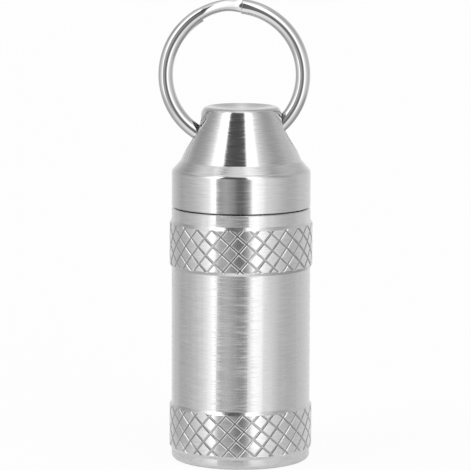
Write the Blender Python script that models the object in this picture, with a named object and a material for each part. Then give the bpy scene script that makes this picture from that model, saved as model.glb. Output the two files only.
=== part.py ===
"""Waterproof screw-top pill box for a key ring, turned from stainless steel.

Four pieces: a knurled canister with an internal thread, a conical cap whose
plug carries the matching thread, the sealing ring in the plug's groove, and a
split ring through the cap's cross hole. Metres, +Z up, origin at the middle
of the canister's base, front towards -Y.
"""
import math

import bmesh
import bpy
from mathutils import Vector

MM = 0.001

# Counts of straight facets
TURN_FACETS = 48
THREAD_FACETS = 36
FILLET_FACETS = 3
DISH_FACETS = 4
BORE_FACETS = 32
CORD_FACETS = 8
RING_FACETS = 48
WIRE_FACETS = 10

# Canister, outside
BARREL_RADIUS = 9.0 * MM
CANISTER_HEIGHT = 32.98 * MM
BASE_FILLET = 0.6 * MM
EDGE_BREAK = 0.10 * MM

# Knurled bands: heights over the barrel, and what the imprint trims off the blank
KNURL_LAND_HEIGHT = 0.27 * MM
KNURL_ROOT_HEIGHT = 0.17 * MM
KNURL_TRIM = 0.15 * MM
KNURL_BAND_LENGTH = 6.25 * MM
KNURL_BEVEL_LENGTH = 0.45 * MM
LOWER_KNURL_FOOT = 1.34 * MM
UPPER_KNURL_FOOT = 25.20 * MM
KNURL_PITCH = 1.57 * MM
KNURL_GROOVE_WIDTH = 0.44 * MM
KNURL_STARTS_FALLING = 24
KNURL_STARTS_RISING = 28
# Share of a groove's spacing by which each family is turned from the front
LOWER_KNURL_SHARES = (0.663, 0.092)
UPPER_KNURL_SHARES = (0.549, 0.097)

# Canister, inside: the mouth's wall, and steps inwards from it
MOUTH_WALL = 1.05 * MM
CAVITY_LEDGE = 0.25 * MM
CAVITY_FLOOR = 2.5 * MM
CAVITY_FILLET = 1.0 * MM
SEAT_DEPTH = 2.90 * MM
SEAT_LEAD_IN = 0.30 * MM
THREAD_BORE_DEPTH = 8.60 * MM

# Thread, 15 mm across with a pitch of 1.5 mm
THREAD_PITCH = 1.5 * MM
THREAD_STEP = 0.55 * MM
THREAD_DEPTH = 0.85 * MM
THREAD_CREST_WIDTH = 0.20 * MM
THREAD_CLEARANCE = 0.20 * MM
THREAD_FLANK_CLEARANCE = 0.14 * MM
THREAD_FLANK_ANGLE = math.radians(30)
THREAD_TURNS = 2.9
TAP_LEAD_TURNS = 1
TAP_EXIT_TURNS = 0.6
THREAD_FADE_TURNS = 0.25
THREAD_FADE_SHARE = 0.25
THREAD_SINK = 0.12 * MM

# Cap
PARTING_GAP = 0.15 * MM
SHOULDER_EDGE_HEIGHT = 4.65 * MM
SHOULDER_FILLET = 0.70 * MM
SHOULDER_STEP = 1.20 * MM
CONE_FOOT_HEIGHT = 6.00 * MM
CONE_HEIGHT = 6.45 * MM
CONE_TAPER = 2.73 * MM
RIM_FILLET = 0.80 * MM
RIM_WIDTH = 1.02 * MM
DISH_DEPTH = 0.55 * MM
DISH_EDGE_DROP = 0.06 * MM

# Plug under the cap
PLUG_CLEARANCE = 0.20 * MM
PLUG_NECK_LENGTH = 0.58 * MM
GROOVE_WIDTH = 1.60 * MM
PLUG_LAND_LENGTH = 0.60 * MM
PLUG_RELIEF_LENGTH = 0.50 * MM
PLUG_END_LENGTH = 0.45 * MM
PLUG_END_CHAMFER = 0.35 * MM

# Sealing ring
SEAL_CORD_RADIUS = 0.625 * MM
SEAL_GAP = 0.10 * MM

# Cross hole
HOLE_RADIUS = 2.52 * MM
HOLE_TOP_LAND = 0.36 * MM
HOLE_EDGE = 0.12 * MM

# Split ring
RING_OUTER_RADIUS = 9.80 * MM
RING_WIRE_WIDTH = 1.88 * MM
RING_THICKNESS = 1.90 * MM
RING_COIL_GAP = 0.42 * MM
RING_REST_GAP = 0.05 * MM
RING_OFFSET = 0.93 * MM
RING_FRONT_END = math.radians(84)
RING_CROSSING = math.radians(39)
RING_CROSSING_BEHIND = math.radians(5)
RING_CROSSING_EASE = 0.15
# In the crossing the wire is slimmer and lies further out
RING_CROSSING_RUN_IN = math.radians(42)
RING_CROSSING_SLIM = 0.20
RING_CROSSING_SHIFT = 0.27 * MM

# Every cutter runs past the surface it opens by the overrun, and points
# nearer to each other than the weld become one
OVERRUN = 1.0 * MM
WELD = 0.001 * MM

# Radii that follow
KNURL_LAND_RADIUS = BARREL_RADIUS + KNURL_LAND_HEIGHT
KNURL_ROOT_RADIUS = BARREL_RADIUS + KNURL_ROOT_HEIGHT
KNURL_BLANK_RADIUS = KNURL_LAND_RADIUS + KNURL_TRIM
SEAT_RADIUS = BARREL_RADIUS - MOUTH_WALL
PLUG_RADIUS = SEAT_RADIUS - PLUG_CLEARANCE
GROOVE_RADIUS = SEAT_RADIUS - 2 * SEAL_GAP - 2 * SEAL_CORD_RADIUS
THREAD_OUTER_RADIUS = SEAT_RADIUS - THREAD_STEP
THREAD_ROOT_RADIUS = THREAD_OUTER_RADIUS - THREAD_DEPTH
THREAD_BORE_RADIUS = THREAD_ROOT_RADIUS + THREAD_CLEARANCE
CAVITY_RADIUS = THREAD_BORE_RADIUS - CAVITY_LEDGE
CONE_FOOT_RADIUS = BARREL_RADIUS - SHOULDER_STEP
CONE_TOP_RADIUS = CONE_FOOT_RADIUS - CONE_TAPER
DISH_RADIUS = CONE_TOP_RADIUS - RIM_WIDTH

# Heights that follow
CAP_FACE = CANISTER_HEIGHT + PARTING_GAP
CONE_FOOT_Z = CAP_FACE + CONE_FOOT_HEIGHT
CONE_TOP_Z = CONE_FOOT_Z + CONE_HEIGHT
HOLE_Z = CONE_TOP_Z - HOLE_TOP_LAND - HOLE_RADIUS
GROOVE_TOP = CAP_FACE - PLUG_NECK_LENGTH
GROOVE_FOOT = GROOVE_TOP - GROOVE_WIDTH
PLUG_LAND_FOOT = GROOVE_FOOT - PLUG_LAND_LENGTH
THREAD_TOP = PLUG_LAND_FOOT - PLUG_RELIEF_LENGTH
THREAD_FOOT = THREAD_TOP - THREAD_TURNS * THREAD_PITCH
PLUG_END = THREAD_FOOT - PLUG_END_LENGTH


def clear_scene():
    for item in list(bpy.data.objects):
        bpy.data.objects.remove(item, do_unlink=True)


def make_material(name, color, metallic, roughness):
    material = bpy.data.materials.new(name)
    material.use_nodes = True
    shader = material.node_tree.nodes["Principled BSDF"]
    shader.inputs["Base Color"].default_value = (*color, 1.0)
    shader.inputs["Metallic"].default_value = metallic
    shader.inputs["Roughness"].default_value = roughness
    return material


def make_object(name, bm, origin=(0, 0, 0), sharp_angle=math.radians(28)):
    """Close a bmesh into an object whose origin is the given point."""
    bmesh.ops.recalc_face_normals(bm, faces=bm.faces)
    bmesh.ops.translate(bm, verts=bm.verts, vec=-Vector(origin))
    mesh = bpy.data.meshes.new(name)
    bm.to_mesh(mesh)
    bm.free()
    mesh.shade_smooth()
    mesh.set_sharp_from_angle(angle=sharp_angle)
    item = bpy.data.objects.new(name, mesh)
    item.location = origin
    bpy.context.scene.collection.objects.link(item)
    return item


def make_cutter(name, bm):
    item = make_object(name, bm)
    item.display_type = "WIRE"
    item.hide_render = True
    return item


def combine(target, tool, operation):
    step = target.modifiers.new(tool.name, "BOOLEAN")
    step.operation = operation
    step.solver = "EXACT"
    step.object = tool


def arc(center, radius, start, end, facets):
    """Points on an arc in the (radius, height) plane, ends included."""
    return [
        (
            center[0] + radius * math.cos(start + (end - start) * i / facets),
            center[1] + radius * math.sin(start + (end - start) * i / facets),
        )
        for i in range(facets + 1)
    ]


def turn(outline, facets):
    """Turn a closed outline of (radius, height) points round the Z axis."""
    bm = bmesh.new()
    points = [bm.verts.new((radius, 0, height)) for radius, height in outline]
    edges = [bm.edges.new(pair) for pair in zip(points, points[1:])]
    if outline[0][0] > 0 or outline[-1][0] > 0:
        edges.append(bm.edges.new((points[-1], points[0])))
    bmesh.ops.spin(
        bm, geom=points + edges, cent=(0, 0, 0), axis=(0, 0, 1),
        angle=math.tau, steps=facets, use_merge=True,
    )
    bmesh.ops.remove_doubles(bm, verts=bm.verts, dist=WELD)
    return bm


def bridge_rings(bm, rings):
    """Join rings of vertices into a tube with both ends capped."""
    for near, far in zip(rings, rings[1:]):
        for i in range(len(near)):
            j = (i + 1) % len(near)
            bm.faces.new((near[i], near[j], far[j], far[i]))
    bm.faces.new(reversed(rings[0]))
    bm.faces.new(rings[-1])


def knurl_band_outline(foot):
    """The blank's raised band: a bevel, the land and a second bevel."""
    top = foot + KNURL_BAND_LENGTH
    rise = KNURL_LAND_RADIUS - BARREL_RADIUS
    run = KNURL_BEVEL_LENGTH * (KNURL_BLANK_RADIUS - BARREL_RADIUS) / rise
    return [
        (BARREL_RADIUS, foot),
        (KNURL_BLANK_RADIUS, foot + run),
        (KNURL_BLANK_RADIUS, top - run),
        (BARREL_RADIUS, top),
    ]


def knurl_imprint(name, foot, shares):
    """A ring whose inner wall is the knurled surface, for trimming a band.

    Grooves of two families cross: rising ones climb to the right, falling
    ones drop to the right, both seen from outside. Each cell between four
    crossings has a flat top and four sloping walls.
    """
    wave = math.tau / KNURL_PITCH
    climb = {
        starts: math.sqrt(wave ** 2 - (starts / KNURL_LAND_RADIUS) ** 2)
        for starts in (KNURL_STARTS_FALLING, KNURL_STARTS_RISING)
    }
    falling, rising = KNURL_STARTS_FALLING, KNURL_STARTS_RISING
    spread = falling * climb[rising] + rising * climb[falling]
    flank = KNURL_GROOVE_WIDTH / 2 / KNURL_PITCH

    def place(m, n, radius):
        m_turn, n_turn = m + shares[0], n + shares[1]
        angle = math.tau * (m_turn * climb[rising] + n_turn * climb[falling]) / spread
        height = math.tau * (m_turn * rising - n_turn * falling) / spread
        return (radius * math.sin(angle), -radius * math.cos(angle), height)

    low, high = foot, foot + KNURL_BAND_LENGTH
    cell_height = math.tau * (falling + rising) / spread
    bm = bmesh.new()
    for m in range(falling):
        first = math.floor((m * rising - (high + cell_height) * spread / math.tau) / falling)
        last = math.ceil((m * rising - (low - cell_height) * spread / math.tau) / falling)
        for n in range(first, last + 1):
            corners = ((0, 0), (1, 0), (1, 1), (0, 1))
            roots = [bm.verts.new(place(m + a, n + b, KNURL_ROOT_RADIUS)) for a, b in corners]
            lands = [
                bm.verts.new(place(
                    m + flank + a * (1 - 2 * flank),
                    n + flank + b * (1 - 2 * flank),
                    KNURL_LAND_RADIUS,
                ))
                for a, b in corners
            ]
            for i in range(4):
                j = (i + 1) % 4
                bm.faces.new((roots[i], roots[j], lands[j], lands[i]))
            bm.faces.new((lands[0], lands[1], lands[2]))
            bm.faces.new((lands[0], lands[2], lands[3]))
    bmesh.ops.remove_doubles(bm, verts=bm.verts, dist=WELD)
    for height, side in ((low, -1), (high, 1)):
        bmesh.ops.bisect_plane(
            bm, geom=bm.verts[:] + bm.edges[:] + bm.faces[:], dist=WELD,
            plane_co=(0, 0, height), plane_no=(0, 0, side), clear_outer=True,
        )
    outer_radius = KNURL_BLANK_RADIUS + OVERRUN
    rims = [edge for edge in bm.edges if edge.is_boundary]
    grown = bmesh.ops.extrude_edge_only(bm, edges=rims)["geom"]
    for vert in (part for part in grown if isinstance(part, bmesh.types.BMVert)):
        flat = Vector((vert.co.x, vert.co.y, 0)).normalized() * outer_radius
        vert.co.x, vert.co.y = flat.x, flat.y
    bmesh.ops.bridge_loops(bm, edges=[edge for edge in bm.edges if edge.is_boundary])
    return make_cutter(name, bm)


def thread_ridge(bm, foot, turns, crest_radius, root_radius, crest_width, fade):
    """A right-hand thread's ridge: four-cornered sections along a helix.

    The ridge is sunk below its root so that it joins or cuts cleanly, and
    its last part turn fades to a share of its height where fade is true.
    """
    steps = round(turns * THREAD_FACETS)
    sections = []
    for i in range(steps + 1):
        turned = i / THREAD_FACETS
        ramp = min(turned, turns - turned) / THREAD_FADE_TURNS
        share = min(1, THREAD_FADE_SHARE + (1 - THREAD_FADE_SHARE) * ramp) if fade else 1
        crest = root_radius + (crest_radius - root_radius) * share
        inner = root_radius - THREAD_SINK
        crest_half = crest_width / 2
        root_half = crest_half + (crest - inner) * math.tan(THREAD_FLANK_ANGLE)
        height = foot + turned * THREAD_PITCH
        angle = math.tau * turned
        sections.append([
            bm.verts.new((
                radius * math.cos(angle), radius * math.sin(angle), height + rise,
            ))
            for radius, rise in (
                (inner, -root_half), (crest, -crest_half), (crest, crest_half), (inner, root_half),
            )
        ])
    bridge_rings(bm, sections)


def make_canister():
    outer = arc(
        (BARREL_RADIUS - BASE_FILLET, BASE_FILLET), BASE_FILLET,
        -math.pi / 2, 0, FILLET_FACETS,
    )
    mouth = CANISTER_HEIGHT
    seat_floor = mouth - SEAT_DEPTH
    bore_foot = mouth - THREAD_BORE_DEPTH
    step = THREAD_BORE_RADIUS - CAVITY_RADIUS
    outline = [(0, 0)] + outer
    outline += knurl_band_outline(LOWER_KNURL_FOOT)
    outline += knurl_band_outline(UPPER_KNURL_FOOT)
    outline += [
        (BARREL_RADIUS, mouth - EDGE_BREAK),
        (BARREL_RADIUS - EDGE_BREAK, mouth),
        (SEAT_RADIUS + SEAT_LEAD_IN, mouth),
        (SEAT_RADIUS, mouth - SEAT_LEAD_IN),
        (SEAT_RADIUS, seat_floor),
        (THREAD_BORE_RADIUS, seat_floor),
        (THREAD_BORE_RADIUS, bore_foot),
        (CAVITY_RADIUS, bore_foot - step),
    ]
    outline += arc(
        (CAVITY_RADIUS - CAVITY_FILLET, CAVITY_FLOOR + CAVITY_FILLET), CAVITY_FILLET,
        0, -math.pi / 2, FILLET_FACETS,
    )
    outline.append((0, CAVITY_FLOOR))
    canister = make_object("canister", turn(outline, TURN_FACETS))

    # The tapped groove: the plug's ridge grown by the clearances, one turn
    # longer below and running out into the seal's seat above
    bm = bmesh.new()
    tap_foot = THREAD_FOOT - TAP_LEAD_TURNS * THREAD_PITCH
    tap_turns = (seat_floor - tap_foot) / THREAD_PITCH + TAP_EXIT_TURNS
    narrowing = 2 * THREAD_CLEARANCE * math.tan(THREAD_FLANK_ANGLE)
    thread_ridge(
        bm, tap_foot, tap_turns, THREAD_OUTER_RADIUS + THREAD_CLEARANCE, THREAD_BORE_RADIUS,
        THREAD_CREST_WIDTH + 2 * THREAD_FLANK_CLEARANCE - narrowing, fade=False,
    )
    combine(canister, make_cutter("tap", bm), "DIFFERENCE")
    for name, foot, shares in (
        ("lower_knurl", LOWER_KNURL_FOOT, LOWER_KNURL_SHARES),
        ("upper_knurl", UPPER_KNURL_FOOT, UPPER_KNURL_SHARES),
    ):
        combine(canister, knurl_imprint(name, foot, shares), "DIFFERENCE")
    return canister


def cone_radius(height):
    """The cap's radius on its straight cone, at a height above the origin."""
    return CONE_FOOT_RADIUS - CONE_TAPER * (height - CONE_FOOT_Z) / CONE_HEIGHT


def cap_outline():
    """The cap's turned outline, from the plug's end up to the dish."""
    cone_lean = math.atan2(CONE_TAPER, CONE_HEIGHT)
    shoulder_lean = math.atan2(SHOULDER_STEP, CONE_FOOT_HEIGHT - SHOULDER_EDGE_HEIGHT)
    tangent = SHOULDER_FILLET * math.tan(shoulder_lean / 2)
    edge_z = CAP_FACE + SHOULDER_EDGE_HEIGHT
    rim_center = (
        CONE_TOP_RADIUS - RIM_FILLET * math.cos(cone_lean),
        CONE_TOP_Z - RIM_FILLET * math.sin(cone_lean),
    )
    crest_z = rim_center[1] + RIM_FILLET
    dish_edge_z = crest_z - DISH_EDGE_DROP
    dish_floor_z = crest_z - DISH_DEPTH
    outline = [
        (0, PLUG_END),
        (THREAD_ROOT_RADIUS - PLUG_END_CHAMFER, PLUG_END),
        (THREAD_ROOT_RADIUS, PLUG_END + PLUG_END_CHAMFER),
        (THREAD_ROOT_RADIUS, PLUG_LAND_FOOT),
        (PLUG_RADIUS, PLUG_LAND_FOOT),
        (PLUG_RADIUS, GROOVE_FOOT),
        (GROOVE_RADIUS, GROOVE_FOOT),
        (GROOVE_RADIUS, GROOVE_TOP),
        (PLUG_RADIUS, GROOVE_TOP),
        (PLUG_RADIUS, CAP_FACE),
        (BARREL_RADIUS - EDGE_BREAK, CAP_FACE),
        (BARREL_RADIUS, CAP_FACE + EDGE_BREAK),
    ]
    outline += arc(
        (BARREL_RADIUS - SHOULDER_FILLET, edge_z - tangent), SHOULDER_FILLET,
        0, shoulder_lean, FILLET_FACETS,
    )
    outline.append((CONE_FOOT_RADIUS, CONE_FOOT_Z))
    outline += arc(rim_center, RIM_FILLET, cone_lean, math.pi / 2, FILLET_FACETS)
    outline += [
        (
            DISH_RADIUS * (1 - i / DISH_FACETS),
            dish_floor_z + (dish_edge_z - dish_floor_z) * (1 - i / DISH_FACETS) ** 2,
        )
        for i in range(DISH_FACETS + 1)
    ]
    return outline


def cross_hole():
    """The hole along X: a straight bore whose ends flare at the cone's wall.

    Each mouth is a curved line on the cone, so a section's corners lie at
    different places along X: the flare starts one edge width inside it.
    """
    bm = bmesh.new()
    rings = []
    for side, part in ((-1, "flare"), (-1, "bore"), (1, "bore"), (1, "flare")):
        section = []
        for i in range(BORE_FACETS):
            angle = math.tau * i / BORE_FACETS
            height = HOLE_Z + HOLE_RADIUS * math.sin(angle)
            across = HOLE_RADIUS * math.cos(angle)
            wall = math.sqrt(cone_radius(height) ** 2 - across ** 2)
            reach = wall + HOLE_EDGE if part == "flare" else wall - HOLE_EDGE
            radius = HOLE_RADIUS + 2 * HOLE_EDGE if part == "flare" else HOLE_RADIUS
            section.append(bm.verts.new((
                side * reach, radius * math.cos(angle), HOLE_Z + radius * math.sin(angle),
            )))
        rings.append(section)
    outer = []
    for side, section in ((-1, rings[0]), (1, rings[-1])):
        outer.append([
            bm.verts.new((side * (BARREL_RADIUS + OVERRUN), vert.co.y, vert.co.z))
            for vert in section
        ])
    bridge_rings(bm, [outer[0]] + rings + [outer[1]])
    return make_cutter("cross_hole", bm)


def make_cap():
    cap = make_object("cap", turn(cap_outline(), TURN_FACETS), (0, 0, CAP_FACE))
    bm = bmesh.new()
    thread_ridge(
        bm, THREAD_FOOT, THREAD_TURNS, THREAD_OUTER_RADIUS, THREAD_ROOT_RADIUS,
        THREAD_CREST_WIDTH, fade=True,
    )
    combine(cap, make_cutter("plug_thread", bm), "UNION")
    combine(cap, cross_hole(), "DIFFERENCE")
    return cap


def make_seal():
    center = (
        GROOVE_RADIUS + SEAL_GAP + SEAL_CORD_RADIUS,
        (GROOVE_TOP + GROOVE_FOOT) / 2,
    )
    section = arc(center, SEAL_CORD_RADIUS, 0, math.tau, CORD_FACETS)[:-1]
    return make_object("seal_ring", turn(section, TURN_FACETS), (0, 0, center[1]), math.pi)


def wire_section():
    """Round wire rolled flat: points of an oval, (across, along the ring's axis)."""
    half_width = RING_WIRE_WIDTH / 2
    half_depth = (RING_THICKNESS - RING_COIL_GAP) / 4
    angles = [math.tau * i / WIRE_FACETS for i in range(WIRE_FACETS)]
    return [(half_width * math.cos(a), half_depth * math.sin(a)) for a in angles]


def ease(share):
    """Go from 0 to 1, level at both ends."""
    share = min(1, max(0, share))
    return share * share * (3 - 2 * share)


def crossed_share(share):
    """Go from 0 to 1 at an even slope, with a short ease at both ends."""
    share = min(1, max(0, share))
    slope = 1 / (1 - RING_CROSSING_EASE)
    if share < RING_CROSSING_EASE:
        return slope * share * share / (2 * RING_CROSSING_EASE)
    if share > 1 - RING_CROSSING_EASE:
        return 1 - slope * (1 - share) ** 2 / (2 * RING_CROSSING_EASE)
    return slope * (share - RING_CROSSING_EASE / 2)


def make_split_ring():
    """Two coils of flat oval wire, wound side by side as one wire.

    The front coil starts at its square-cut end, runs clockwise down the right
    and up the left, crosses to the back layer behind its own start and runs
    round once more.
    """
    mean_radius = RING_OUTER_RADIUS - RING_WIRE_WIDTH / 2
    layer = (RING_THICKNESS + RING_COIL_GAP) / 4
    hole_floor = HOLE_Z - math.sqrt(HOLE_RADIUS ** 2 - layer ** 2)
    center = Vector((-RING_OFFSET, 0, hole_floor + RING_REST_GAP + RING_OUTER_RADIUS))
    step = math.tau / RING_FACETS
    crossing_start = math.tau - RING_CROSSING + RING_CROSSING_BEHIND
    wire_end = crossing_start + math.tau - step
    bm = bmesh.new()
    sections = []
    for i in range(round(wire_end / step) + 1):
        wound = i * step
        angle = RING_FRONT_END - wound
        middle = layer * (2 * crossed_share((wound - crossing_start) / RING_CROSSING) - 1)
        bend = ease((wound - crossing_start) / RING_CROSSING_RUN_IN + 0.75)
        bend *= 1 - ease((wound - crossing_start) / RING_CROSSING - 0.7)
        slimmed = 1 - RING_CROSSING_SLIM * bend
        out = mean_radius + RING_CROSSING_SHIFT * bend
        sections.append([
            bm.verts.new(center + Vector((
                (out + across * slimmed) * math.cos(angle),
                middle + along,
                (out + across * slimmed) * math.sin(angle),
            )))
            for across, along in wire_section()
        ])
    bridge_rings(bm, sections)
    points = [[vert.co.copy() for vert in section] for section in sections]
    return make_object("split_ring", bm, (0, 0, HOLE_Z)), points


def least_gap(points):
    """The least distance between points of the wire half a turn or more apart."""
    apart = RING_FACETS // 2
    return min(
        (a - b).length
        for i, near in enumerate(points)
        for far in points[i + apart:]
        for a in near
        for b in far
    )


def build():
    clear_scene()
    steel = make_material("canister_steel", (0.62, 0.62, 0.62), 1.0, 0.28)
    cap_steel = make_material("cap_steel", (0.62, 0.62, 0.62), 1.0, 0.26)
    nickel = make_material("ring_nickel", (0.68, 0.68, 0.68), 1.0, 0.16)
    rubber = make_material("seal_rubber", (0.02, 0.02, 0.02), 0.0, 0.55)
    make_canister().data.materials.append(steel)
    make_cap().data.materials.append(cap_steel)
    make_seal().data.materials.append(rubber)
    split_ring, points = make_split_ring()
    split_ring.data.materials.append(nickel)
    print("least gap between the split ring's coils: %.3f mm" % (least_gap(points) / MM))


build()
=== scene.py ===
"""Looks of the waterproof key ring pill box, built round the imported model.

Finer pieces stand for all four solids: the knurled canister, the conical cap
with its threaded plug, the sealing ring and the split ring. Metres, +Z up,
front towards -Y.
"""
import math

import bmesh
import bpy
from mathutils import Matrix, Vector


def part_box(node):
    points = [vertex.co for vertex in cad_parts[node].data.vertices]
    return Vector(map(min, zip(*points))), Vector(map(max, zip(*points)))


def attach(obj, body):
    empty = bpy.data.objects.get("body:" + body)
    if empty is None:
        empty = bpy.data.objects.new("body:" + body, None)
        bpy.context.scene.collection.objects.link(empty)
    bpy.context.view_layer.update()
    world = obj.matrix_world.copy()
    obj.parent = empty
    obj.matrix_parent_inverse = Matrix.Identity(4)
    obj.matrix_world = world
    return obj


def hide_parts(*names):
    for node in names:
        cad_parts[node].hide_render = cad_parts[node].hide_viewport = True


MM = 0.001
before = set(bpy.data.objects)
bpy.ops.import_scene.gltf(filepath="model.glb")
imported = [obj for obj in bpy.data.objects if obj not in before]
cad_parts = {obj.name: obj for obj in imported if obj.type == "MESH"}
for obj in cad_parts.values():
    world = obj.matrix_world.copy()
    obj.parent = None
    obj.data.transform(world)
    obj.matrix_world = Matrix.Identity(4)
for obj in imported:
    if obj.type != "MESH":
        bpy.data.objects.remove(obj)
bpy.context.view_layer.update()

# Driving sizes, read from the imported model
_, CANISTER_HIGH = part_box("canister")
CAP_LOW, CAP_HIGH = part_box("cap")
RING_LOW, RING_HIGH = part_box("split_ring")
SEAL_LOW, SEAL_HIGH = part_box("seal_ring")
BARREL_RADIUS = CAP_HIGH.x
CANISTER_HEIGHT = CANISTER_HIGH.z
KNURL_LAND_RADIUS = CANISTER_HIGH.x
PLUG_END = CAP_LOW.z
RING_OUTER_RADIUS = (RING_HIGH.x - RING_LOW.x) / 2
RING_THICKNESS = RING_HIGH.y - RING_LOW.y
SEAL_Z = (SEAL_HIGH.z + SEAL_LOW.z) / 2
SEAL_CORD_RADIUS = (SEAL_HIGH.z - SEAL_LOW.z) / 2
SEAL_RADIUS = SEAL_HIGH.x - SEAL_CORD_RADIUS

# Counts of facets
BORE_FACETS = 160
CAP_FACETS = 288
FILLET_FACETS = 8
HOLE_FACETS = 96
THREAD_FACETS = 96
RING_FACETS = 180
WIRE_FACETS = 64
SEAL_CORD_FACETS = 24

# Edges that turn by more than these angles are drawn sharp
SHARP_ANGLE = math.radians(15)
TURNED_SHARP_ANGLE = math.radians(12)
WIRE_SHARP_ANGLE = math.radians(40)

# Canister, outside
BASE_FILLET = 0.6 * MM
EDGE_BREAK = 0.10 * MM
KNURL_ROOT_HEIGHT = 0.19 * MM
KNURL_BAND_LENGTH = 6.25 * MM
KNURL_BEVEL_LENGTH = 0.45 * MM
LOWER_KNURL_FOOT = 1.34 * MM
UPPER_KNURL_FOOT = 25.20 * MM
KNURL_PITCH = 1.57 * MM
KNURL_GROOVE_HALF = 0.19 * MM
KNURL_STARTS_FALLING = 24
KNURL_STARTS_RISING = 28
LOWER_KNURL_SHARES = (0.663, 0.092)
UPPER_KNURL_SHARES = (0.549, 0.097)
# Across a groove: share of its half width, and share of its height there
GROOVE_SHARES = ((0, 0), (0.35, 0.05), (0.80, 0.82), (1.0, 0.97), (1.25, 1.0))

# Canister, inside
SEAT_RADIUS = BARREL_RADIUS - 1.05 * MM
SEAT_DEPTH = 2.90 * MM
SEAT_LEAD_IN = 0.30 * MM
THREAD_BORE_DEPTH = 8.60 * MM
CAVITY_LEDGE = 0.25 * MM
CAVITY_FLOOR = 2.5 * MM
CAVITY_FILLET = 1.0 * MM

# Thread
THREAD_PITCH = 1.5 * MM
THREAD_OUTER_RADIUS = SEAT_RADIUS - 0.55 * MM
THREAD_ROOT_RADIUS = THREAD_OUTER_RADIUS - 0.85 * MM
THREAD_CREST_WIDTH = 0.20 * MM
THREAD_CLEARANCE = 0.20 * MM
THREAD_FLANK_CLEARANCE = 0.14 * MM
THREAD_FLANK_ANGLE = math.radians(30)
THREAD_TURNS = 2.9
TAP_LEAD_TURNS = 1
TAP_EXIT_TURNS = 0.6
THREAD_FADE_TURNS = 0.25
THREAD_FADE_SHARE = 0.25
THREAD_SINK = 0.12 * MM
THREAD_BORE_RADIUS = THREAD_ROOT_RADIUS + THREAD_CLEARANCE
CAVITY_RADIUS = THREAD_BORE_RADIUS - CAVITY_LEDGE

# Cap
CAP_FACE = CANISTER_HEIGHT + 0.15 * MM
SHOULDER_EDGE_Z = CAP_FACE + 4.65 * MM
SHOULDER_FILLET = 0.70 * MM
SHOULDER_STEP = 1.20 * MM
SHOULDER_HEIGHT = 1.35 * MM
SHOULDER_MARK_WIDTH = 0.50 * MM
SHOULDER_MARK_DEPTH = 0.012 * MM
SHOULDER_MARK_FACETS = 12
CONE_HEIGHT = 6.45 * MM
CONE_TAPER = 2.73 * MM
CONE_FOOT_Z = SHOULDER_EDGE_Z + SHOULDER_HEIGHT
CONE_TOP_Z = CONE_FOOT_Z + CONE_HEIGHT
CONE_FOOT_RADIUS = BARREL_RADIUS - SHOULDER_STEP
CONE_TOP_RADIUS = CONE_FOOT_RADIUS - CONE_TAPER
RIM_FILLET = 0.80 * MM
DISH_RADIUS = CONE_TOP_RADIUS - 1.02 * MM
DISH_DEPTH = 0.55 * MM
DISH_EDGE_DROP = 0.06 * MM
DISH_FACETS = 12
# The facing cut of the cap's top starts at this share of the rim's fillet
FACED_SHARE = 0.3

# Plug
PLUG_RADIUS = SEAT_RADIUS - 0.20 * MM
GROOVE_TOP = CAP_FACE - 0.58 * MM
GROOVE_FOOT = GROOVE_TOP - 1.60 * MM
GROOVE_RADIUS = SEAL_RADIUS - SEAL_CORD_RADIUS - 0.10 * MM
PLUG_LAND_FOOT = GROOVE_FOOT - 0.60 * MM
THREAD_TOP = PLUG_LAND_FOOT - 0.50 * MM
THREAD_FOOT = THREAD_TOP - THREAD_TURNS * THREAD_PITCH
PLUG_END_CHAMFER = 0.35 * MM

# Cross hole
HOLE_RADIUS = 2.52 * MM
HOLE_Z = CONE_TOP_Z - 0.36 * MM - HOLE_RADIUS
HOLE_EDGE = 0.12 * MM

# Split ring. The crossing is where the wire goes from the front to the back
# coil. The wire bends outwards before it, over RING_CROSSING_RUN_IN, and back
# again within it.
RING_CENTER = (RING_LOW + RING_HIGH) / 2
RING_WIRE_WIDTH = 1.88 * MM
RING_WIRE_EDGE = 0.07 * MM
RING_COIL_GAP = 0.08 * MM
RING_END_ROUND = 0.06 * MM
RING_END_SHRINK = 0.10
RING_END_GAP = math.radians(1.5)
RING_FRONT_END = math.radians(84)
RING_CROSSING = math.radians(34)
RING_CROSSING_THIN = 0.33
RING_TURN_OVER = math.radians(60)
RING_CROSSING_EASE = 0.15
RING_CROSSING_RUN_IN = math.radians(42)
RING_CROSSING_SLIM = 0.20
RING_CROSSING_SHIFT = 0.16 * MM
RING_BEND_LEAD = 0.75
RING_BEND_RETURN_START = 0.5
RING_BEND_RETURN_LENGTH = 0.7

# Reach of cutting tools past the surface, and distance within which points are one
OVERRUN = 1.0 * MM
WELD = 0.001 * MM

# Turned surfaces. Where the lines' noise goes from the first to the second
# level in SCRATCHES, a line gets rougher, by up to SCRATCH_SHARE of the
# roughness, and its gloss is less stretched.
LINES_PER_METRE = 7000
STREAKS = 4.5
LINE_TINTS = (0.85, 1.15)
SCRATCHES = (0.44, 0.70)
SCRATCH_SHARE = 1.0
SCRATCH_STRETCH_LOSS = 0.4
GLOSS_TURN = 0.25
PRESSED_ROUGHNESS = 0.19
FACED_ROUGHNESS = 0.17
# Painted shade: the share by which the grooves' floors are darkened towards black
GROOVE_PAINTED_SHADE = 0.45
# The diamonds' flat faces lie up to this far below the round land
LAND_SAG = 0.026 * MM
CANISTER_COLOR = (0.66, 0.66, 0.66)
CANISTER_ROUGHNESS = 0.21
CANISTER_STRETCH = 1.0
CANISTER_LINE_DEPTH = 0.004 * MM
CAP_COLOR = (0.60, 0.60, 0.60)
CAP_ROUGHNESS = 0.10
CAP_STRETCH = 0.80
CAP_LINE_DEPTH = 0.010 * MM
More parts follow.
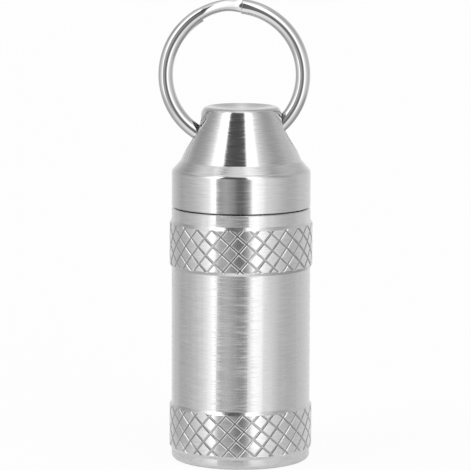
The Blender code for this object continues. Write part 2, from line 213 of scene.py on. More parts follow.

# Other surfaces: scales are in marks per metre, roughness goes from low to high
# The hole's wall is the steel's colour made lighter than the cap's: painted light in the hole's
# shaded inside
DRILLED_WALL_LIGHTENED_COLOR = (0.80, 0.80, 0.80)
DRILLED_ROUGHNESS = (0.35, 0.65)
DRILLED_SCALE = (9000, 400, 400)
DRILLED_DEPTH = 0.010 * MM
NICKEL_COLOR = (0.63, 0.63, 0.63)
NICKEL_ROUGHNESS = (0.03, 0.12)
NICKEL_WEAR_SCALE = 2600
NICKEL_WAVE_SCALE = 700
NICKEL_WAVE_DEPTH = 0.006 * MM
RUBBER_COLOR = (0.02, 0.02, 0.02)
RUBBER_ROUGHNESS = (0.45, 0.7)
RUBBER_GRAIN_SCALE = 9000
RUBBER_GRAIN_DEPTH = 0.008 * MM

# Floor: the share of plain white that the camera sees, the part of it that
# metal sees, and the distances between which it fades out for metal
FLOOR_SIZE = 4.0
FLOOR_COLOR = (0.92, 0.92, 0.92)
FLOOR_WHITE = 0.93
FLOOR_IN_METAL = 0.5
FLOOR_FADE = (10 * MM, 26 * MM)

# Camera, as fitted to the photograph
PICTURE_WIDTH = 470
CAMERA_FOCAL_PIXELS = 3313
CAMERA_DISTANCE = 430 * MM
CAMERA_ELEVATION = math.radians(7.965)
CAMERA_AZIMUTH = 0.0
CAMERA_ROLL = math.radians(0.166)
CAMERA_TARGET = Vector((-0.781 * MM, 0, 29.29 * MM))
SENSOR_WIDTH = 36


def object_from(bm, name, sharp_angle=SHARP_ANGLE):
    """Make an object of a mesh, with its faces turned outwards."""
    bmesh.ops.recalc_face_normals(bm, faces=bm.faces)
    mesh = bpy.data.meshes.new(name)
    bm.to_mesh(mesh)
    bm.free()
    mesh.shade_smooth()
    mesh.set_sharp_from_angle(angle=sharp_angle)
    piece = bpy.data.objects.new(name, mesh)
    bpy.context.scene.collection.objects.link(piece)
    return piece


def combine(piece, tool, operation):
    """Join or cut with a closed tool, at once, and delete the tool."""
    step = piece.modifiers.new(tool.name, "BOOLEAN")
    step.operation = operation
    step.solver = "MANIFOLD"
    step.object = tool
    depsgraph = bpy.context.evaluated_depsgraph_get()
    mesh = bpy.data.meshes.new_from_object(piece.evaluated_get(depsgraph))
    piece.modifiers.clear()
    piece.data = mesh
    bpy.data.objects.remove(tool, do_unlink=True)


def smooth(piece):
    """Shade a turned piece smooth but for its sharp edges."""
    piece.data.shade_smooth()
    piece.data.set_sharp_from_angle(angle=TURNED_SHARP_ANGLE)


def arc(center, radius, start, end, facets):
    """Points on an arc in the (radius, height) plane, ends included."""
    return [
        (
            center[0] + radius * math.cos(start + (end - start) * i / facets),
            center[1] + radius * math.sin(start + (end - start) * i / facets),
        )
        for i in range(facets + 1)
    ]


def turn(outline, facets):
    """Turn a closed outline of (radius, height) points round the Z axis."""
    bm = bmesh.new()
    points = [bm.verts.new((radius, 0, height)) for radius, height in outline]
    edges = [bm.edges.new(pair) for pair in zip(points, points[1:])]
    if outline[0][0] > 0 or outline[-1][0] > 0:
        edges.append(bm.edges.new((points[-1], points[0])))
    bmesh.ops.spin(
        bm, geom=points + edges, cent=(0, 0, 0), axis=(0, 0, 1),
        angle=math.tau, steps=facets, use_merge=True,
    )
    bmesh.ops.remove_doubles(bm, verts=bm.verts, dist=WELD)
    return bm


def bridge_rings(bm, rings):
    """Join rings of vertices into a tube with both ends capped."""
    for near, far in zip(rings, rings[1:]):
        for i in range(len(near)):
            j = (i + 1) % len(near)
            bm.faces.new((near[i], near[j], far[j], far[i]))
    bm.faces.new(reversed(rings[0]))
    bm.faces.new(rings[-1])


def thread_ridge(bm, foot, turns, crest_radius, root_radius, crest_width, fade):
    """A right-hand thread's ridge, whose ends fade out where fade is true."""
    steps = round(turns * THREAD_FACETS)
    sections = []
    for i in range(steps + 1):
        turned = i / THREAD_FACETS
        ramp = min(turned, turns - turned) / THREAD_FADE_TURNS
        share = min(1, THREAD_FADE_SHARE + (1 - THREAD_FADE_SHARE) * ramp) if fade else 1
        crest = root_radius + (crest_radius - root_radius) * share
        inner = root_radius - THREAD_SINK
        crest_half = crest_width / 2
        root_half = crest_half + (crest - inner) * math.tan(THREAD_FLANK_ANGLE)
        height = foot + turned * THREAD_PITCH
        angle = math.tau * turned
        sections.append([
            bm.verts.new((
                radius * math.cos(angle), radius * math.sin(angle), height + rise,
            ))
            for radius, rise in (
                (inner, -root_half), (crest, -crest_half),
                (crest, crest_half), (inner, root_half),
            )
        ])
    bridge_rings(bm, sections)


def knurled_band(foot, shares):
    """A knurled band's outer skin, open at its two ends.

    It is laid out flat first, as (angle, height, radius): there the bevels
    are planes, so the lattice of cells is cut along them and pressed down
    onto them. Then it is rolled round the axis.
    """
    wave = math.tau / KNURL_PITCH
    falling, rising = KNURL_STARTS_FALLING, KNURL_STARTS_RISING
    climb_falling = math.sqrt(wave ** 2 - (falling / KNURL_LAND_RADIUS) ** 2)
    climb_rising = math.sqrt(wave ** 2 - (rising / KNURL_LAND_RADIUS) ** 2)
    spread = falling * climb_rising + rising * climb_falling
    root_radius = BARREL_RADIUS + KNURL_ROOT_HEIGHT
    half = KNURL_GROOVE_HALF / KNURL_PITCH
    near = [(share * half, height) for share, height in GROOVE_SHARES]
    steps = near + [(1 - share, height) for share, height in reversed(near)]
    low, high = foot, foot + KNURL_BAND_LENGTH
    cell_height = math.tau * (falling + rising) / spread
    # Flat layout: the angle is held as an arc length on the land
    bm = bmesh.new()
    for m in range(falling):
        first = math.floor((m * rising - (high + cell_height) * spread / math.tau) / falling)
        last = math.ceil((m * rising - (low - cell_height) * spread / math.tau) / falling)
        for n in range(first, last + 1):
            middle = math.tau * ((m + shares[0]) * rising - (n + shares[1]) * falling) / spread
            if not low - cell_height < middle < high + cell_height:
                continue
            grid = []
            for across, across_height in steps:
                row = []
                for along, along_height in steps:
                    m_turn, n_turn = m + shares[0] + across, n + shares[1] + along
                    angle = math.tau * (m_turn * climb_rising + n_turn * climb_falling) / spread
                    height = math.tau * (m_turn * rising - n_turn * falling) / spread
                    share = min(across_height, along_height)
                    radius = root_radius + (KNURL_LAND_RADIUS - root_radius) * share
                    row.append(bm.verts.new((angle * KNURL_LAND_RADIUS, height, radius)))
                grid.append(row)
            last_step = len(steps) - 1
            for i in range(last_step):
                for j in range(last_step):
                    a, b = grid[i][j], grid[i + 1][j]
                    c, d = grid[i + 1][j + 1], grid[i][j + 1]
                    if i == j:
                        bm.faces.new((a, b, c))
                        bm.faces.new((a, c, d))
                    elif i == last_step - 1 - j:
                        bm.faces.new((a, b, d))
                        bm.faces.new((b, c, d))
                    else:
                        bm.faces.new((a, b, c, d))

    def cut(point, normal, clear):
        bmesh.ops.bisect_plane(
            bm, geom=bm.verts[:] + bm.edges[:] + bm.faces[:], dist=WELD / 100,
            plane_co=point, plane_no=normal, clear_outer=clear,
        )

    slope = (KNURL_LAND_RADIUS - BARREL_RADIUS) / KNURL_BEVEL_LENGTH
    cut((0, low, 0), (0, -1, 0), True)
    cut((0, high, 0), (0, 1, 0), True)
    cut((0, low, BARREL_RADIUS), (0, -slope, 1), False)
    cut((0, high, BARREL_RADIUS), (0, slope, 1), False)
    for vert in bm.verts:
        bevel = BARREL_RADIUS + slope * min(vert.co.y - low, high - vert.co.y)
        radius = min(vert.co.z, bevel)
        angle, height = vert.co.x / KNURL_LAND_RADIUS, vert.co.y
        vert.co = (radius * math.sin(angle), -radius * math.cos(angle), height)
    bmesh.ops.remove_doubles(bm, verts=bm.verts, dist=WELD)
    return bm


def rim_edges(bm, height):
    """The open edges that lie at a height."""
    return [
        edge for edge in bm.edges
        if edge.is_boundary and all(abs(vert.co.z - height) < WELD for vert in edge.verts)
    ]


def extend_rim(bm, edges, outline):
    """Carry an open rim along (radius, height) points and return the last rim."""
    for radius, height in outline:
        grown = bmesh.ops.extrude_edge_only(bm, edges=edges)["geom"]
        verts = [part for part in grown if isinstance(part, bmesh.types.BMVert)]
        for vert in verts:
            flat = Vector((vert.co.x, vert.co.y, 0)).normalized() * radius
            vert.co = (flat.x, flat.y, height)
        new = set(verts)
        edges = [
            part for part in grown
            if isinstance(part, bmesh.types.BMEdge) and all(v in new for v in part.verts)
        ]
    return edges


def close_rim(bm, edges, height):
    """Close an open rim with a fan round its middle."""
    middle = bm.verts.new((0, 0, height))
    for edge in edges:
        bm.faces.new((edge.verts[0], edge.verts[1], middle))


def join_mesh(bm, other):
    """Add another mesh's faces, and free it."""
    mesh = bpy.data.meshes.new("part")
    other.to_mesh(mesh)
    other.free()
    bm.from_mesh(mesh)
    bpy.data.meshes.remove(mesh)


def make_canister():
    """The lower housing: one closed skin, with the thread tapped into its bore."""
    mouth = CANISTER_HEIGHT
    seat_floor = mouth - SEAT_DEPTH
    bore_foot = mouth - THREAD_BORE_DEPTH
    bm = knurled_band(LOWER_KNURL_FOOT, LOWER_KNURL_SHARES)
    join_mesh(bm, knurled_band(UPPER_KNURL_FOOT, UPPER_KNURL_SHARES))
    base = arc(
        (BARREL_RADIUS - BASE_FILLET, BASE_FILLET), BASE_FILLET,
        0, -math.pi / 2, FILLET_FACETS,
    )
    last = extend_rim(bm, rim_edges(bm, LOWER_KNURL_FOOT), base)
    close_rim(bm, last, 0)
    bmesh.ops.bridge_loops(
        bm, edges=rim_edges(bm, LOWER_KNURL_FOOT + KNURL_BAND_LENGTH)
        + rim_edges(bm, UPPER_KNURL_FOOT),
    )
    # The rim goes over the mouth's edge and down the bore in one piece
    skin = [
        (BARREL_RADIUS, mouth - EDGE_BREAK),
        (BARREL_RADIUS - EDGE_BREAK, mouth),
        (SEAT_RADIUS + SEAT_LEAD_IN, mouth),
        (SEAT_RADIUS, mouth - SEAT_LEAD_IN),
        (SEAT_RADIUS, seat_floor),
        (THREAD_BORE_RADIUS, seat_floor),
        (THREAD_BORE_RADIUS, bore_foot),
        (CAVITY_RADIUS, bore_foot - CAVITY_LEDGE),
    ]
    skin += arc(
        (CAVITY_RADIUS - CAVITY_FILLET, CAVITY_FLOOR + CAVITY_FILLET), CAVITY_FILLET,
        0, -math.pi / 2, FILLET_FACETS,
    )
    last = extend_rim(bm, rim_edges(bm, UPPER_KNURL_FOOT + KNURL_BAND_LENGTH), skin)
    close_rim(bm, last, CAVITY_FLOOR)
    canister = object_from(bm, "canister_body_turned")

    bm = bmesh.new()
    tap_foot = THREAD_FOOT - TAP_LEAD_TURNS * THREAD_PITCH
    tap_turns = (seat_floor - tap_foot) / THREAD_PITCH + TAP_EXIT_TURNS
    narrowing = 2 * THREAD_CLEARANCE * math.tan(THREAD_FLANK_ANGLE)
    thread_ridge(
        bm, tap_foot, tap_turns, THREAD_OUTER_RADIUS + THREAD_CLEARANCE, THREAD_BORE_RADIUS,
        THREAD_CREST_WIDTH + 2 * THREAD_FLANK_CLEARANCE - narrowing, fade=False,
    )
    combine(canister, object_from(bm, "tap"), "DIFFERENCE")
    smooth(canister)
    return canister


def cone_radius(height):
    return CONE_FOOT_RADIUS - CONE_TAPER * (height - CONE_FOOT_Z) / CONE_HEIGHT


def cap_outline():
    """The cap's turned outline, from the plug's end up to the dish."""
    cone_lean = math.atan2(CONE_TAPER, CONE_HEIGHT)
    shoulder_lean = math.atan2(SHOULDER_STEP, SHOULDER_HEIGHT)
    tangent = SHOULDER_FILLET * math.tan(shoulder_lean / 2)
    rim_center = (
        CONE_TOP_RADIUS - RIM_FILLET * math.cos(cone_lean),
        CONE_TOP_Z - RIM_FILLET * math.sin(cone_lean),
    )
    dish_edge_z = rim_center[1] + RIM_FILLET - DISH_EDGE_DROP
    dish_floor_z = rim_center[1] + RIM_FILLET - DISH_DEPTH
    outline = [
        (0, PLUG_END),
        (THREAD_ROOT_RADIUS - PLUG_END_CHAMFER, PLUG_END),
        (THREAD_ROOT_RADIUS, PLUG_END + PLUG_END_CHAMFER),
        (THREAD_ROOT_RADIUS, PLUG_LAND_FOOT),
        (PLUG_RADIUS, PLUG_LAND_FOOT),
        (PLUG_RADIUS, GROOVE_FOOT),
        (GROOVE_RADIUS, GROOVE_FOOT),
        (GROOVE_RADIUS, GROOVE_TOP),
        (PLUG_RADIUS, GROOVE_TOP),
        (PLUG_RADIUS, CAP_FACE),
        (BARREL_RADIUS - EDGE_BREAK, CAP_FACE),
        (BARREL_RADIUS, CAP_FACE + EDGE_BREAK),
    ]
    outline += arc(
        (BARREL_RADIUS - SHOULDER_FILLET, SHOULDER_EDGE_Z - tangent), SHOULDER_FILLET,
        0, shoulder_lean, FILLET_FACETS,
    )
    edge = outline[-1]
    for i in range(1, SHOULDER_MARK_FACETS):
        share = i / SHOULDER_MARK_FACETS
        rise = SHOULDER_MARK_DEPTH * (1 - math.cos(math.tau * share)) / 2
        along = SHOULDER_MARK_WIDTH * share
        outline.append((
            edge[0] - along * math.sin(shoulder_lean) - rise * math.cos(shoulder_lean),
            edge[1] + along * math.cos(shoulder_lean) - rise * math.sin(shoulder_lean),
        ))
    outline.append((CONE_FOOT_RADIUS, CONE_FOOT_Z))
    outline += arc(rim_center, RIM_FILLET, cone_lean, math.pi / 2, FILLET_FACETS)
    outline += [
        (
            DISH_RADIUS * (1 - i / DISH_FACETS),
            dish_floor_z + (dish_edge_z - dish_floor_z) * (1 - i / DISH_FACETS) ** 2,
        )
        for i in range(DISH_FACETS + 1)
    ]
    return outline


def cross_hole():
    """The hole along X, whose mouths flare where they meet the cone."""
    bm = bmesh.new()
    rings = []
    for side, part in ((-1, "flare"), (-1, "bore"), (1, "bore"), (1, "flare")):
        section = []
        for i in range(HOLE_FACETS):
            angle = math.tau * i / HOLE_FACETS
            height = HOLE_Z + HOLE_RADIUS * math.sin(angle)
            across = HOLE_RADIUS * math.cos(angle)
            wall = math.sqrt(cone_radius(height) ** 2 - across ** 2)
            reach = wall + HOLE_EDGE if part == "flare" else wall - HOLE_EDGE
            radius = HOLE_RADIUS + 2 * HOLE_EDGE if part == "flare" else HOLE_RADIUS
            section.append(bm.verts.new((
                side * reach, radius * math.cos(angle), HOLE_Z + radius * math.sin(angle),
            )))
        rings.append(section)
    outer = []
    for side, section in ((-1, rings[0]), (1, rings[-1])):
        outer.append([
            bm.verts.new((side * (BARREL_RADIUS + OVERRUN), vert.co.y, vert.co.z))
            for vert in section
        ])
    bridge_rings(bm, [outer[0]] + rings + [outer[1]])
    return object_from(bm, "cross_hole")


def in_cross_hole(point):
    """Whether a point of the cap lies on the cross hole's wall."""
    across = math.hypot(point.y, point.z - HOLE_Z)
    return abs(point.x) < BARREL_RADIUS and across < HOLE_RADIUS + HOLE_EDGE / 2


def make_cap():
    """The upper housing: turned, threaded below and drilled across."""
    cap = object_from(turn(cap_outline(), CAP_FACETS), "cap_turned")
    bm = bmesh.new()
    thread_ridge(
        bm, THREAD_FOOT, THREAD_TURNS, THREAD_OUTER_RADIUS, THREAD_ROOT_RADIUS,
        THREAD_CREST_WIDTH, fade=True,
    )
    combine(cap, object_from(bm, "plug_thread"), "UNION")
    combine(cap, cross_hole(), "DIFFERENCE")
    smooth(cap)
    return cap


def make_seal():
    center = (SEAL_RADIUS, SEAL_Z)
    section = arc(center, SEAL_CORD_RADIUS, 0, math.tau, SEAL_CORD_FACETS)[:-1]
    return object_from(turn(section, BORE_FACETS), "seal_cord", math.pi)


def wire_section(front, back):
    """Half-round wire as (across, along the ring's axis) points.

    The depths to the front and to the back of its widest line add up to its
    thickness: the deeper side is the crown.
    """
    half_width = RING_WIRE_WIDTH / 2
    section = []
    for i in range(WIRE_FACETS):
        angle = math.tau * i / WIRE_FACETS
        reach = math.sin(angle)
        section.append((half_width * math.cos(angle), reach * (back if reach > 0 else front)))
    return section


def ease(share):
    """Go from 0 to 1, level at both ends."""
    share = min(1, max(0, share))
    return share * share * (3 - 2 * share)


def crossed_share(share):
    """Go from 0 to 1 at an even slope, with a short ease at both ends."""
    share = min(1, max(0, share))
    slope = 1 / (1 - RING_CROSSING_EASE)
    if share < RING_CROSSING_EASE:
        return slope * share * share / (2 * RING_CROSSING_EASE)
    if share > 1 - RING_CROSSING_EASE:
        return 1 - slope * (1 - share) ** 2 / (2 * RING_CROSSING_EASE)
    return slope * (share - RING_CROSSING_EASE / 2)


def make_split_ring():
    """Two coils of half-round wire, wound side by side as one wire.

    The crown faces the front in the front coil. Once the wire is behind its
    own start it turns over, so that the back coil's crown faces the back.
    """
    mean_radius = RING_OUTER_RADIUS - RING_WIRE_WIDTH / 2
    full_depth = (RING_THICKNESS - RING_COIL_GAP) / 2
    crown = full_depth - RING_WIRE_EDGE
    step = math.tau / RING_FACETS
    crossing_start = math.tau - RING_CROSSING
    wire_end = crossing_start + math.tau - RING_END_GAP
    tip = RING_END_ROUND / mean_radius
    bm = bmesh.new()
    sections = []
    stations = [0, tip] + [i * step for i in range(1, int((wire_end - tip) / step) + 1)]
    stations += [wire_end - tip, wire_end]
    for wound in stations:
        angle = RING_FRONT_END - wound
        crossing = (wound - crossing_start) / RING_CROSSING
        bend = ease((wound - crossing_start) / RING_CROSSING_RUN_IN + RING_BEND_LEAD)
        bend *= 1 - ease((crossing - RING_BEND_RETURN_START) / RING_BEND_RETURN_LENGTH)
        slimmed = 1 - RING_CROSSING_SLIM * bend
        worn = 1 - RING_END_SHRINK if wound in (0, wire_end) else 1
        out = mean_radius + RING_CROSSING_SHIFT * bend
        thin = 1 - RING_CROSSING_THIN * ease(crossing) * (1 - ease(crossing - 1))
        turned_over = ease((wound - math.tau) / RING_TURN_OVER)
        front = thin * (crown + (RING_WIRE_EDGE - crown) * turned_over)
        back = thin * full_depth - front
        widest = front - RING_THICKNESS / 2
        widest += (RING_THICKNESS - thin * full_depth) * crossed_share(crossing)
        sections.append([
            bm.verts.new(RING_CENTER + Vector((
                (out + across * slimmed * worn) * math.cos(angle),
                widest + along * worn,
                (out + across * slimmed * worn) * math.sin(angle),
            )))
            for across, along in wire_section(front, back)
        ])
    bridge_rings(bm, sections)
    return object_from(bm, "split_ring_wire", WIRE_SHARP_ANGLE)


class Graph:
    """A node tree, with short ways to add nodes and link them."""

    def __init__(self, tree):
        self.nodes = tree.nodes
        self.links = tree.links

    def set(self, node, socket, value):
        node.inputs[socket].default_value = value

    def add(self, kind, **settings):
        node = self.nodes.new("ShaderNode" + kind)
        for key, value in settings.items():
            setattr(node, key, value)
        return node

    def link(self, source, target):
        self.links.new(source, target)

    def math(self, operation, *values):
        node = self.add("Math", operation=operation)
        for i, value in enumerate(values):
            if isinstance(value, (int, float)):
                node.inputs[i].default_value = value
            else:
                self.link(value, node.inputs[i])
        return node.outputs[0]

    def remap(self, value, start, end, low=0.0, high=1.0, **settings):
        """Map start..end onto low..high, and hold it there outside."""
        node = self.add("MapRange", **settings)
        self.set(node, "From Min", start)
        self.set(node, "From Max", end)
        self.set(node, "To Min", low)
        self.set(node, "To Max", high)
        self.link(value, node.inputs["Value"])
        return node.outputs["Result"]

    def separate(self, vector):
        node = self.add("SeparateXYZ")
        self.link(vector, node.inputs[0])
        return node.outputs

    def join(self, **parts):
        node = self.add("CombineXYZ")
        for axis, value in parts.items():
            self.link(value, node.inputs[axis])
        return node.outputs[0]

    def vector_math(self, operation, vector, output):
        node = self.add("VectorMath", operation=operation)
        self.link(vector, node.inputs[0])
        return node.outputs[output]

    def mix_shaders(self, factor, first, second):
        node = self.add("MixShader")
        for i, value in enumerate((factor, first, second)):
            self.link(value, node.inputs[i])
        return node.outputs[0]


class Shader(Graph):
    """A material with one glossy or matt surface."""

    def __init__(self, name, color, metallic, roughness):
        self.material = bpy.data.materials.new(name)
        self.material.use_nodes = True
        super().__init__(self.material.node_tree)
        self.surface = self.nodes["Principled BSDF"]
        self.place = self.add("TexCoord").outputs["Object"]
        self.set(self.surface, "Base Color", (*color, 1))
        self.set(self.surface, "Metallic", metallic)
        self.set(self.surface, "Roughness", roughness)

    def noise(self, vector, scale, detail=2.0, roughness=0.5):
        node = self.add("TexNoise")
        self.set(node, "Scale", scale)
        self.set(node, "Detail", detail)
        self.set(node, "Roughness", roughness)
        self.link(vector, node.inputs["Vector"])
        return node.outputs["Fac"]

    def bump(self, height, distance, strength=None):
        node = self.add("Bump")
        self.set(node, "Distance", distance)
        if strength is not None:
            self.link(strength, node.inputs["Strength"])
        self.link(height, node.inputs["Height"])
        self.link(node.outputs[0], self.surface.inputs["Normal"])


class TurnedShader(Shader):
    """A material turned round the Z axis."""

    def __init__(self, name, color, metallic, roughness):
        super().__init__(name, color, metallic, roughness)
        self.parts = self.separate(self.place)
        self.flat = self.join(X=self.parts["X"], Y=self.parts["Y"])
        self.radius = self.vector_math("LENGTH", self.flat, "Value")

    def height_band(self, foot, top):
        """1 between two heights and 0 elsewhere."""
        return self.math("COMPARE", self.parts["Z"], (foot + top) / 2, (top - foot) / 2)

    def knurl_depth(self, foot, top):
        """1 on the floor of the grooves between two heights, 0 on their lands, where the grooves
        get painted shade.
        """
        depth = self.remap(
            self.radius, KNURL_LAND_RADIUS - LAND_SAG, BARREL_RADIUS + KNURL_ROOT_HEIGHT,
        )
        return self.math("MULTIPLY", depth, self.height_band(foot, top))

    def lathe_coordinates(self):
        """A vector that varies fast from turning line to line, slowly along one."""
        around = self.separate(self.vector_math("NORMALIZE", self.flat, "Vector"))
        run = self.math("SUBTRACT", self.parts["Z"], self.radius)
        return self.join(
            X=self.math("MULTIPLY", around["X"], STREAKS),
            Y=self.math("MULTIPLY", around["Y"], STREAKS),
            Z=self.math("MULTIPLY", run, LINES_PER_METRE),
        )


def turned_steel(name, color, roughness, stretch, line_depth, knurls=(), faced=()):
    """Fine-turned stainless steel: lines round the axis that spread light up and down.

    Many of the lines are scratched rougher, and scatter light to all sides.
    Between the pairs of heights in knurls the tool has pressed the surface
    smooth, so no lines are left, and the grooves' floors are darkened in
    colour, which is painted shade. Between those in faced the surface has its own roughness.
    """
    shader = TurnedShader(name, color, metallic=1.0, roughness=roughness)
    tangent = shader.add("Tangent", direction_type="RADIAL", axis="Z")
    shader.set(shader.surface, "Anisotropic Rotation", GLOSS_TURN)
    shader.link(tangent.outputs[0], shader.surface.inputs["Tangent"])
    pressed = depth = shader.math("ADD", 0.0, 0.0)
    for foot, top in knurls:
        pressed = shader.math("ADD", pressed, shader.height_band(foot, top))
        inner = shader.knurl_depth(foot + KNURL_BEVEL_LENGTH, top - KNURL_BEVEL_LENGTH)
        depth = shader.math("ADD", depth, inner)
    turned = shader.math("SUBTRACT", 1.0, pressed)
    lines = shader.noise(shader.lathe_coordinates(), 1.0, detail=1.0)
    scratched = shader.math("MULTIPLY", shader.remap(lines, *SCRATCHES), turned)
    uneven = shader.math("MULTIPLY_ADD", scratched, SCRATCH_SHARE * roughness, roughness)
    for foot, top in faced:
        uneven = shader.math(
            "MULTIPLY_ADD", shader.height_band(foot, top), FACED_ROUGHNESS - roughness, uneven,
        )
    smooth_part = shader.math("MULTIPLY", pressed, PRESSED_ROUGHNESS - roughness)
    shader.link(shader.math("ADD", uneven, smooth_part), shader.surface.inputs["Roughness"])
    even = shader.math("MULTIPLY_ADD", scratched, -SCRATCH_STRETCH_LOSS, 1.0)
    shader.link(
        shader.math("MULTIPLY", shader.math("MULTIPLY", turned, even), stretch),
        shader.surface.inputs["Anisotropic"],
    )
    tint = shader.add("Mix", data_type="RGBA")
    for socket, share in zip("AB", LINE_TINTS):
        shader.set(tint, socket, (*(level * share for level in color), 1))
    shader.link(lines, tint.inputs["Factor"])
    # Painted shade: the grooves' floors are mixed towards black
    shaded_grooves_color = shader.add("Mix", data_type="RGBA")
    shader.link(shader.math("MULTIPLY", depth, GROOVE_PAINTED_SHADE), shaded_grooves_color.inputs["Factor"])
    shader.link(tint.outputs["Result"], shaded_grooves_color.inputs["A"])
    shader.set(shaded_grooves_color, "B", (0, 0, 0, 1))
    shader.link(shaded_grooves_color.outputs["Result"], shader.surface.inputs["Base Color"])
    shader.bump(lines, line_depth, turned)
    return shader.material


def grained(shader, grain, roughness, depth):
    """Let a grain set a surface's roughness and its fine relief."""
    shader.link(shader.remap(grain, 0, 1, *roughness), shader.surface.inputs["Roughness"])
    shader.bump(grain, depth)
    return shader.material


def drilled_wall_with_painted_light():
    """The cross hole's wall: rougher, with marks round the drill's axis along X, and a colour
    lighter than the cap's steel, which is painted light in the hole's shade.
    """
    shader = Shader("cap_drilled_wall_with_painted_light", DRILLED_WALL_LIGHTENED_COLOR, metallic=1.0, roughness=0.5)
    parts = shader.separate(shader.place)
    along = shader.join(**{
        axis: shader.math("MULTIPLY", parts[axis], scale)
        for axis, scale in zip("XYZ", DRILLED_SCALE)
    })
    marks = shader.noise(along, 1.0, detail=3.0)
    return grained(shader, marks, DRILLED_ROUGHNESS, DRILLED_DEPTH)


def bright_nickel():
    """Plated wire with faint waves from drawing and winding, and fine wear."""
    shader = Shader("bright_nickel", NICKEL_COLOR, metallic=1.0, roughness=NICKEL_ROUGHNESS[1])
    wear = shader.noise(shader.place, NICKEL_WEAR_SCALE, detail=5.0, roughness=0.6)
    worn = shader.remap(wear, 0, 1, *NICKEL_ROUGHNESS)
    shader.link(worn, shader.surface.inputs["Roughness"])
    shader.bump(shader.noise(shader.place, NICKEL_WAVE_SCALE), NICKEL_WAVE_DEPTH)
    return shader.material


def matt_rubber():
    """Moulded black rubber with a fine grain."""
    shader = Shader("matt_rubber", RUBBER_COLOR, metallic=0.0, roughness=0.55)
    grain = shader.noise(shader.place, RUBBER_GRAIN_SCALE, detail=3.0)
    return grained(shader, grain, RUBBER_ROUGHNESS, RUBBER_GRAIN_DEPTH)


def dress(piece, material, body, node):
    """Give a piece its material, and let it stand for a body's node."""
    piece.data.materials.clear()
    piece.data.materials.append(material)
    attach(piece, body)
    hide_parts(node)


# Light: levels by degrees round to the right from the front, in bands of height
LOW_BAND = (
    (-180, 0.95), (-172, 0.95), (-169, 0.9), (-151, 0.82), (-131, 0.7), (-117, 0.58), (-95, 0.68),
    (-85, 0.76), (-69, 1.0), (-55, 1.3), (-47, 1.9), (-43, 2.0), (-40.5, 0.75), (-35, 0.5),
    (-25, 0.58), (-12, 0.38), (-5, 0.2), (3, 0.2), (10, 0.42), (15, 0.85), (19, 1.8), (28, 1.65),
    (36, 1.45), (42, 1.12), (57, 0.92), (73, 0.74), (85, 0.67), (100, 0.70), (111, 0.80),
    (140, 0.88), (169, 0.9), (172, 0.95),
)
HALF_WAY_BAND = (
    (-180, 1.1), (-177, 0.62), (-160, 0.65), (-134, 0.5), (-114, 0.42), (-98, 0.52), (-85, 0.7),
    (-73, 1.05), (-64, 1.6), (-57, 2.2), (-40, 2.2), (-36.5, 0.14), (-20, 0.11), (-6, 0.11),
    (9, 0.16), (13, 2.0), (32, 2.0), (40, 1.2), (50, 0.9), (60, 0.7), (70, 0.56), (79, 0.52),
    (92, 0.56), (106, 0.68), (123, 0.72), (150, 0.65), (177, 0.62), (180, 1.1),
)
UPPER_BAND = (
    (-180, 1.1), (-177, 0.62), (-160, 0.65), (-131, 0.8), (-117, 0.82), (-104, 0.95), (-93, 1.15),
    (-85, 0.95),
) + HALF_WAY_BAND[7:]
HIGH_BAND = (
    (-180, 0.7), (-138, 0.78), (-120, 0.76), (-104, 0.88), (-93, 1.15), (-84, 1.4), (-77, 1.25),
    (-69, 0.82), (-63, 0.5), (-55, 0.5), (-47, 0.9), (-33, 1.0), (0, 1.1), (25, 1.6), (53, 1.4),
    (63, 1.15), (72, 0.98), (88, 0.8), (100, 0.78), (117, 0.86), (135, 0.76),
)
TOP_LEVEL = 1.1
BELOW_BAND = (
    (-180, 0.7), (-130, 0.55), (-80, 0.6), (-50, 0.95), (-20, 1.2), (15, 1.2), (45, 0.9),
    (75, 0.5), (125, 0.4), (170, 0.65),
)
# The elevations in degrees between which each band gives way to the next
LOW_FADE = (-26, -14)
HALF_WAY_FADE = (5, 30)
UPPER_FADE = (32, 50)
HIGH_FADE = (57, 63)
TOP_FADE = (74, 84)
# A ramp's colours go up to 1, so the levels are divided by this
LEVEL_SCALE = 4.0


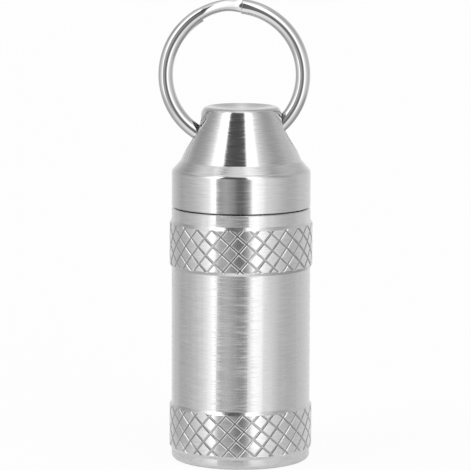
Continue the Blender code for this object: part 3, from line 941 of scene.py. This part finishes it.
def make_world():
    """Soft light with a level for each direction, seen as plain white itself."""
    world = bpy.data.worlds.new("studio")
    bpy.context.scene.world = world
    world.use_nodes = True
    graph = Graph(world.node_tree)
    graph.nodes.clear()
    parts = graph.separate(graph.add("TexCoord").outputs["Generated"])
    back = graph.math("MULTIPLY", parts["Y"], -1.0)
    azimuth = graph.math("ARCTAN2", parts["X"], back)
    turned = graph.math("SUBTRACT", azimuth, CAMERA_AZIMUTH)
    share = graph.math("ADD", graph.math("DIVIDE", turned, math.tau), 0.5)
    wrapped = graph.math("FRACT", share)

    def ramp(band):
        node = graph.add("ValToRGB")
        graph.link(wrapped, node.inputs[0])
        elements = node.color_ramp.elements
        for i, (degrees, level) in enumerate(band):
            place = degrees / 360 + 0.5
            stop = elements[i] if i < 2 else elements.new(place)
            stop.position = place
            level /= LEVEL_SCALE
            stop.color = (level, level, level, 1)
        return node.outputs["Color"]

    def blend(fade, low, high):
        """Go from low to high between two elevations."""
        start, end = (math.sin(math.radians(degrees)) for degrees in fade)
        mixed = graph.add("Mix", data_type="RGBA")
        rise = graph.remap(parts["Z"], start, end, interpolation_type="SMOOTHSTEP")
        graph.link(rise, mixed.inputs["Factor"])
        graph.link(low, mixed.inputs["A"])
        graph.link(high, mixed.inputs["B"])
        return mixed.outputs["Result"]

    top = graph.add("RGB").outputs[0]
    top.default_value = (*[TOP_LEVEL / LEVEL_SCALE] * 3, 1)
    band = blend(LOW_FADE, ramp(BELOW_BAND), ramp(LOW_BAND))
    band = blend(HALF_WAY_FADE, band, ramp(HALF_WAY_BAND))
    band = blend(UPPER_FADE, band, ramp(UPPER_BAND))
    band = blend(HIGH_FADE, band, ramp(HIGH_BAND))
    band = blend(TOP_FADE, band, top)
    studio = graph.add("Background")
    graph.set(studio, "Strength", LEVEL_SCALE)
    graph.link(band, studio.inputs["Color"])
    plain = graph.add("Background")
    graph.set(plain, "Color", (1, 1, 1, 1))
    seen = graph.add("LightPath").outputs["Is Camera Ray"]
    chosen = graph.mix_shaders(seen, studio.outputs[0], plain.outputs[0])
    graph.link(chosen, graph.add("OutputWorld").inputs["Surface"])


def make_floor():
    """A pale floor that looks plain white and keeps the box's shadow."""
    bm = bmesh.new()
    bmesh.ops.create_grid(bm, x_segments=1, y_segments=1, size=FLOOR_SIZE)
    floor = object_from(bm, "floor")
    material = bpy.data.materials.new("pale_floor")
    material.use_nodes = True
    graph = Graph(material.node_tree)
    graph.nodes.clear()
    diffuse = graph.add("BsdfDiffuse")
    graph.set(diffuse, "Color", (*FLOOR_COLOR, 1))
    glow = graph.add("Emission")
    graph.set(glow, "Color", (1, 1, 1, 1))
    graph.set(glow, "Strength", 1.0)
    paths = graph.add("LightPath").outputs
    camera, glossy = paths["Is Camera Ray"], paths["Is Glossy Ray"]
    seen = graph.math("MULTIPLY_ADD", glossy, FLOOR_IN_METAL, camera)
    white = graph.math("MULTIPLY", seen, FLOOR_WHITE)
    mixed = graph.mix_shaders(white, diffuse.outputs[0], glow.outputs[0])
    # Metal sees the floor near the box, and the studio's low lights beyond
    place = graph.add("TexCoord").outputs["Object"]
    distance = graph.vector_math("LENGTH", place, "Value")
    beyond = graph.remap(distance, *FLOOR_FADE, interpolation_type="SMOOTHSTEP")
    gone = graph.math("MULTIPLY", glossy, beyond)
    table = graph.mix_shaders(gone, mixed, graph.add("BsdfTransparent").outputs[0])
    graph.link(table, graph.add("OutputMaterial").inputs["Surface"])
    floor.data.materials.append(material)


def make_camera():
    data = bpy.data.cameras.new("camera")
    data.sensor_width = SENSOR_WIDTH
    data.lens = CAMERA_FOCAL_PIXELS / PICTURE_WIDTH * SENSOR_WIDTH
    camera = bpy.data.objects.new("camera", data)
    bpy.context.scene.collection.objects.link(camera)
    bpy.context.scene.camera = camera
    turned = Matrix.Rotation(CAMERA_AZIMUTH, 4, "Z")
    raised = Matrix.Rotation(math.pi / 2 - CAMERA_ELEVATION, 4, "X")
    rolled = Matrix.Rotation(CAMERA_ROLL, 4, "Z")
    backed = Matrix.Translation((0, 0, CAMERA_DISTANCE))
    camera.matrix_world = turned @ Matrix.Translation(CAMERA_TARGET) @ raised @ backed @ rolled


def main():
    make_camera()
    knurls = [
        (foot + WELD, foot + KNURL_BAND_LENGTH - WELD)
        for foot in (LOWER_KNURL_FOOT, UPPER_KNURL_FOOT)
    ]
    steel = turned_steel(
        "canister_turned_steel", CANISTER_COLOR, CANISTER_ROUGHNESS, CANISTER_STRETCH,
        CANISTER_LINE_DEPTH, knurls=knurls,
    )
    dish = (CONE_TOP_Z + RIM_FILLET * FACED_SHARE, CAP_HIGH.z + WELD)
    cap_steel = turned_steel(
        "cap_turned_steel", CAP_COLOR, CAP_ROUGHNESS, CAP_STRETCH, CAP_LINE_DEPTH, faced=[dish],
    )
    dress(make_canister(), steel, "canister_body", "canister")
    cap = make_cap()
    dress(cap, cap_steel, "cap_body", "cap")
    # The hole's wall gets its own material, lightened with painted light
    cap.data.materials.append(drilled_wall_with_painted_light())
    for face in cap.data.polygons:
        face.material_index = int(in_cross_hole(face.center))
    dress(make_seal(), matt_rubber(), "seal_body", "seal_ring")
    dress(make_split_ring(), bright_nickel(), "ring_body", "split_ring")
    make_world()
    make_floor()
    bpy.context.scene.view_settings.view_transform = "Standard"


main()
bpy.context.view_layer.update()
